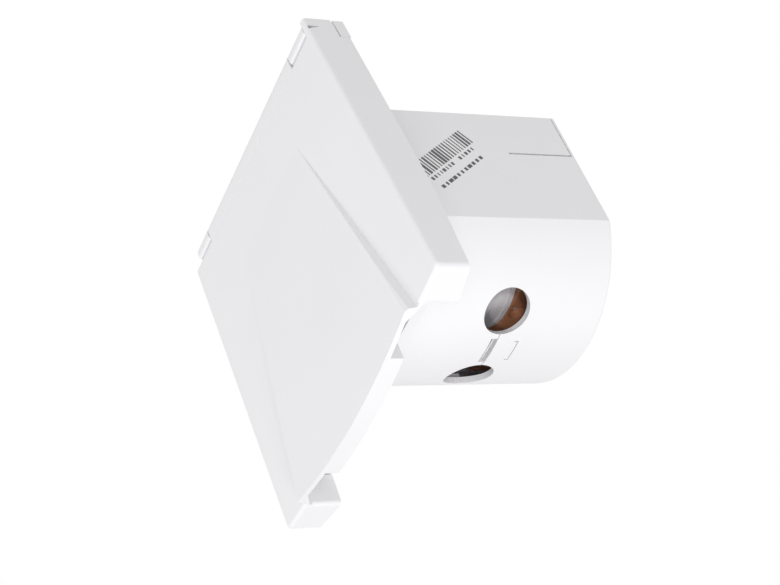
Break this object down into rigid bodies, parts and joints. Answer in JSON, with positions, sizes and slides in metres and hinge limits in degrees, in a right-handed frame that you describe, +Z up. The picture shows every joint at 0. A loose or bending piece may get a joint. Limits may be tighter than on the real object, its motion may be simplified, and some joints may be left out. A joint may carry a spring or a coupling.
{
  "type": "flush mount mains inlet box with a hinged lid",
  "caption": "Flush wall inlet box for a touring vehicle: hinged flap lid over a round pinned mains inlet, with a rear housing that takes round cable entries.",
  "frame": {"origin": "the middle of the wall plane, which is the rear face of the flange, half way up the lid", "axes": "+X to the right seen from the front, +Y into the wall along the housing, +Z up as mounted; the lid faces -Y"},
  "size_m": [0.1196, 0.0958, 0.1168],
  "materials": {
    "white_shell": "satin moulded white plastic",
    "grey_shroud": "satin light grey plastic",
    "brown_block": "satin brown thermoset",
    "seal_rubber": "matte black rubber",
    "brass_contacts": "plain brass",
    "steel_screws": "zinc plated steel",
    "steel_pin": "drawn steel"
  },
  "bodies": {
    "base": {"base_frame": "white_shell", "wall_gasket": "seal_rubber", "rear_cover": "white_shell", "inlet_shroud": "grey_shroud", "shroud_seal": "seal_rubber", "shroud_screws": "steel_screws", "contact_insert": "grey_shroud", "terminal_block": "brown_block", "carrier_screws": "steel_screws", "line_pin": "brass_contacts", "neutral_pin": "brass_contacts", "earth_pin": "brass_contacts", "terminal_screws": "steel_screws", "hinge_pin": "steel_pin"},
    "lid": {"lid": "white_shell", "lid_seal": "seal_rubber"}
  },
  "joints": [
    {"name": "lid_hinge", "type": "hinge", "parent": "base", "child": "lid", "pos_m": [0, -0.01135, 0.05335], "axis": [-1, 0, 0], "range_deg": [0, 120]}
  ]
}
